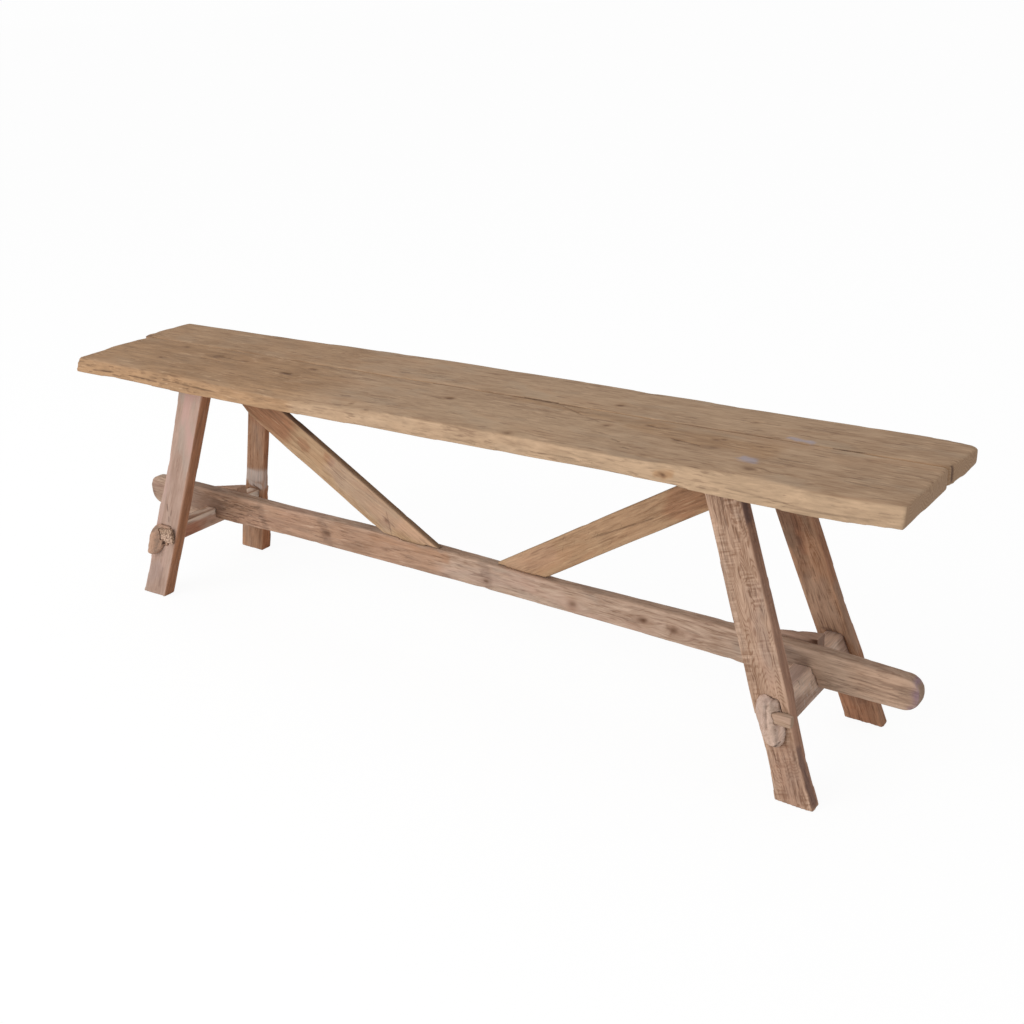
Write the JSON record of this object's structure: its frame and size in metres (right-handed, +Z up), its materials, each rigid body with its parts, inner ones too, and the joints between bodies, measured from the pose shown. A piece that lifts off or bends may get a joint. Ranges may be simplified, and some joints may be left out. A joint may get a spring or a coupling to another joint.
{
  "type": "outdoor bench",
  "caption": "Rustic backless bench: two thick planks on four splayed legs, pegged cross rails, a long stretcher wedged through them and two slanting braces.",
  "frame": {"origin": "on the floor, under the middle of the seat's outline", "axes": "+X along the bench, +Y to the rear plank, away from the braced front, +Z up"},
  "size_m": [1.614, 0.304, 0.47],
  "materials": {
    "seat_wood": "weathered, brushed by use, matt",
    "pale_leg_wood": "old planed timber, matt",
    "dark_leg_wood": "old planed timber, matt",
    "rail_wood": "old hewn timber, matt",
    "stretcher_wood": "old sawn timber, matt",
    "brace_wood": "planed timber, scratched, matt",
    "peg_wood": "cleft timber with a rough end, matt"
  },
  "bodies": {
    "root": {"seat_front_plank": "seat_wood", "seat_rear_plank": "seat_wood", "seat_dowel_1": "peg_wood", "seat_dowel_2": "peg_wood", "seat_dowel_3": "peg_wood", "seat_dowel_4": "peg_wood", "seat_dowel_5": "peg_wood", "leg_front_left": "pale_leg_wood", "leg_front_right": "pale_leg_wood", "leg_rear_left": "dark_leg_wood", "leg_rear_right": "dark_leg_wood", "cross_rail_left": "rail_wood", "rail_peg_front_left": "peg_wood", "rail_peg_rear_left": "peg_wood", "stretcher_wedge_left": "rail_wood", "cross_rail_right": "rail_wood", "rail_peg_front_right": "peg_wood", "rail_peg_rear_right": "peg_wood", "stretcher_wedge_right": "rail_wood", "long_stretcher": "stretcher_wood", "brace_left": "brace_wood", "brace_pin_left": "peg_wood", "brace_right": "brace_wood", "brace_pin_right": "peg_wood"}
  },
  "joints": []
}
